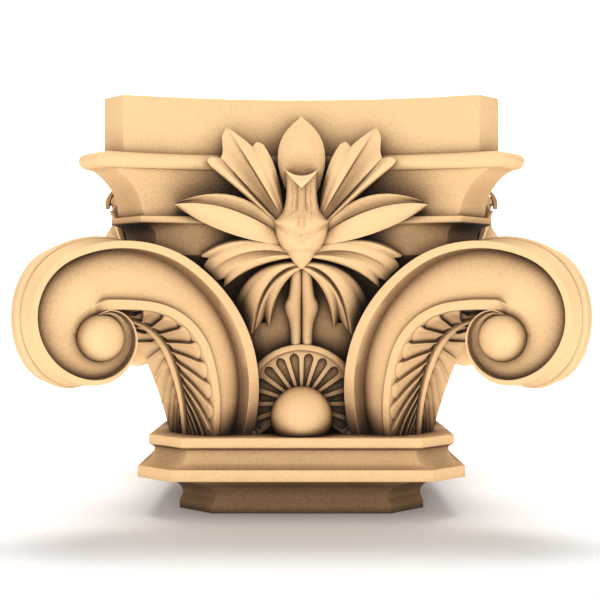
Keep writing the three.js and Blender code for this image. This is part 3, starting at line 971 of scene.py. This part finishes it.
class CAPITAL_OT_leaves(Operator):
    """Lobed leaves under the scrolls"""
    bl_idname = "capital.leaves"
    bl_label = "Leaves"

    def execute(self, context):
        carving = context.scene.capital_carving
        bm = bmesh.new()
        add_leaf(bm, carving.leaf_pitch, carving.leaf_relief)
        turn_four_times(bm)
        part_object("leaves", bm)
        return {"FINISHED"}


class CAPITAL_OT_flowers(Operator):
    """A flower on each face"""
    bl_idname = "capital.flowers"
    bl_label = "Flowers"

    def execute(self, context):
        bm = bmesh.new()
        add_petal(bm, CENTRE_PETAL)
        for side in (1, -1):
            for petal in SIDE_PETALS.values():
                add_petal(bm, petal, side)
            add_rod(bm, side)
        add_bud(bm)
        add_lip(bm)
        turn_four_times(bm)
        part_object("flowers", bm)
        return {"FINISHED"}


class CAPITAL_OT_rosettes(Operator):
    """A fluted half-round rosette on each face"""
    bl_idname = "capital.rosettes"
    bl_label = "Rosettes"

    def execute(self, context):
        bm = bmesh.new()
        add_rosette(bm, context.scene.capital_carving.flutes)
        turn_four_times(bm)
        part_object("rosettes", bm)
        return {"FINISHED"}


class CAPITAL_OT_stone(Operator):
    """Joins the parts into one stone and gives it its finish"""
    bl_idname = "capital.stone"
    bl_label = "Stone"

    def execute(self, context):
        home = bpy.data.collections[PARTS]
        bm = bmesh.new()
        for part in list(home.objects):
            bm.from_mesh(part.data)
            bpy.data.objects.remove(part)
        bpy.data.collections.remove(home)
        mesh = bpy.data.meshes.new("carved_stone")
        bm.to_mesh(mesh)
        bm.free()
        mesh.shade_smooth()
        mesh.set_sharp_from_angle(angle=math.radians(34))
        mesh.materials.append(stone_material(context.scene.capital_look))
        stone = bpy.data.objects.new("carved_stone", mesh)
        context.scene.collection.objects.link(stone)
        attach(stone, "root")
        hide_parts(NODE)
        return {"FINISHED"}


# ---- Stage ----
WALL_FOOT = 0.8  # share of the sweep's bend above which an open edge belongs to the wall
WALL_RISE = 4000
EYE_DISTANCE = 1240
EYE_HEIGHT = 198.1
LENS = 68.18
SWEEP_NEAR, SWEEP_FAR, SWEEP_BEND, SWEEP_HALF = -2600, 2600, 900, 5000


def add_light(name, place, size, power, aim=(0, 0, 200)):
    data = bpy.data.lights.new(name, "AREA")
    data.shape = "DISK"
    data.size = size * MM
    data.energy = power
    light = bpy.data.objects.new(name, data)
    light.location = Vector(place) * MM
    ray = Vector(aim) * MM - light.location
    light.rotation_euler = ray.to_track_quat("-Z", "Y").to_euler()
    bpy.context.scene.collection.objects.link(light)


def pale_material():
    material = bpy.data.materials.new("pale floor")
    material.use_nodes = True
    shader = material.node_tree.nodes["Principled BSDF"]
    shader.inputs["Base Color"].default_value = (0.93, 0.93, 0.93, 1)
    shader.inputs["Roughness"].default_value = 0.9
    shader.inputs["Specular IOR Level"].default_value = 0.1
    return material


def floor_place(i, rows):
    """Depth and height along the floor, which sweeps up behind the capital."""
    t = i / rows
    if t < 0.5:
        return lerp(SWEEP_NEAR, SWEEP_FAR, t / 0.5), 0
    a = math.radians(90) * (t - 0.5) / 0.5
    return SWEEP_FAR + SWEEP_BEND * math.sin(a), SWEEP_BEND * (1 - math.cos(a))


class CAPITAL_OT_stage(Operator):
    """Pale floor, soft light and the camera"""
    bl_idname = "capital.stage"
    bl_label = "Stage"

    def execute(self, context):
        scene = context.scene
        bm = bmesh.new()
        rows = 32
        grid = bmesh.ops.create_grid(bm, x_segments=1, y_segments=rows, size=0.5)
        for vert in grid["verts"]:
            depth, height = floor_place(round((vert.co.y + 0.5) * rows), rows)
            vert.co = Vector((2 * SWEEP_HALF * vert.co.x, depth, height)) * MM
        wall_foot = WALL_FOOT * SWEEP_BEND * MM
        edges = [edge for edge in bm.edges if edge.is_boundary]
        wall = [edge for edge in edges if min(v.co.z for v in edge.verts) > wall_foot]
        raised = bmesh.ops.extrude_edge_only(bm, edges=wall)
        tops = [v for v in raised["geom"] if isinstance(v, bmesh.types.BMVert)]
        bmesh.ops.translate(bm, verts=tops, vec=(0, 0, WALL_RISE * MM))
        mesh = bpy.data.meshes.new("floor")
        bm.to_mesh(mesh)
        bm.free()
        mesh.shade_smooth()
        mesh.materials.append(pale_material())
        floor = bpy.data.objects.new("floor", mesh)
        scene.collection.objects.link(floor)

        world = bpy.data.worlds.new("soft room")
        world.use_nodes = True
        world.node_tree.nodes["Background"].inputs["Color"].default_value = (1, 1, 1, 1)
        world.node_tree.nodes["Background"].inputs["Strength"].default_value = 0.45
        scene.world = world
        add_light("front", (0, -1700, 330), 600, 13)
        add_light("left", (-1500, -900, 700), 900, 2)
        add_light("right", (1500, -900, 700), 900, 2)
        add_light("backdrop", (0, 900, 2400), 2400, 160, aim=(0, 3000, 500))

        data = bpy.data.cameras.new("camera")
        data.lens = LENS
        data.sensor_width = 36
        data.shift_x = -0.0025
        data.shift_y = 0.02
        camera = bpy.data.objects.new("camera", data)
        camera.location = Vector((0, -EYE_DISTANCE, EYE_HEIGHT)) * MM
        camera.rotation_euler = (math.radians(90), 0, 0)
        scene.collection.objects.link(camera)
        scene.camera = camera
        scene.view_settings.view_transform = "Standard"
        return {"FINISHED"}


class CAPITAL_PT_panel(Panel):
    """Sizes, colours and steps of the capital"""
    bl_idname = "CAPITAL_PT_panel"
    bl_label = "Corinthian Capital"
    bl_space_type = "VIEW_3D"
    bl_region_type = "UI"
    bl_category = "Capital"

    def draw(self, context):
        layout = self.layout
        for group in (context.scene.capital_carving, context.scene.capital_look):
            for name in group.__annotations__:
                layout.prop(group, name)
        for operator in OPERATORS:
            layout.operator(operator.bl_idname)


OPERATORS = (
    CAPITAL_OT_block,
    CAPITAL_OT_scrolls,
    CAPITAL_OT_leaves,
    CAPITAL_OT_flowers,
    CAPITAL_OT_rosettes,
    CAPITAL_OT_stone,
    CAPITAL_OT_stage,
)
CLASSES = (CapitalLook, CapitalCarving, *OPERATORS, CAPITAL_PT_panel)


def register():
    for cls in CLASSES:
        bpy.utils.register_class(cls)
    bpy.types.Scene.capital_look = PointerProperty(type=CapitalLook)
    bpy.types.Scene.capital_carving = PointerProperty(type=CapitalCarving)


def unregister():
    del bpy.types.Scene.capital_carving
    del bpy.types.Scene.capital_look
    for cls in reversed(CLASSES):
        bpy.utils.unregister_class(cls)


def main():
    register()
    bpy.ops.capital.block()
    bpy.ops.capital.scrolls()
    bpy.ops.capital.leaves()
    bpy.ops.capital.flowers()
    bpy.ops.capital.rosettes()
    bpy.ops.capital.stone()
    bpy.ops.capital.stage()


if __name__ == "__main__":
    main()
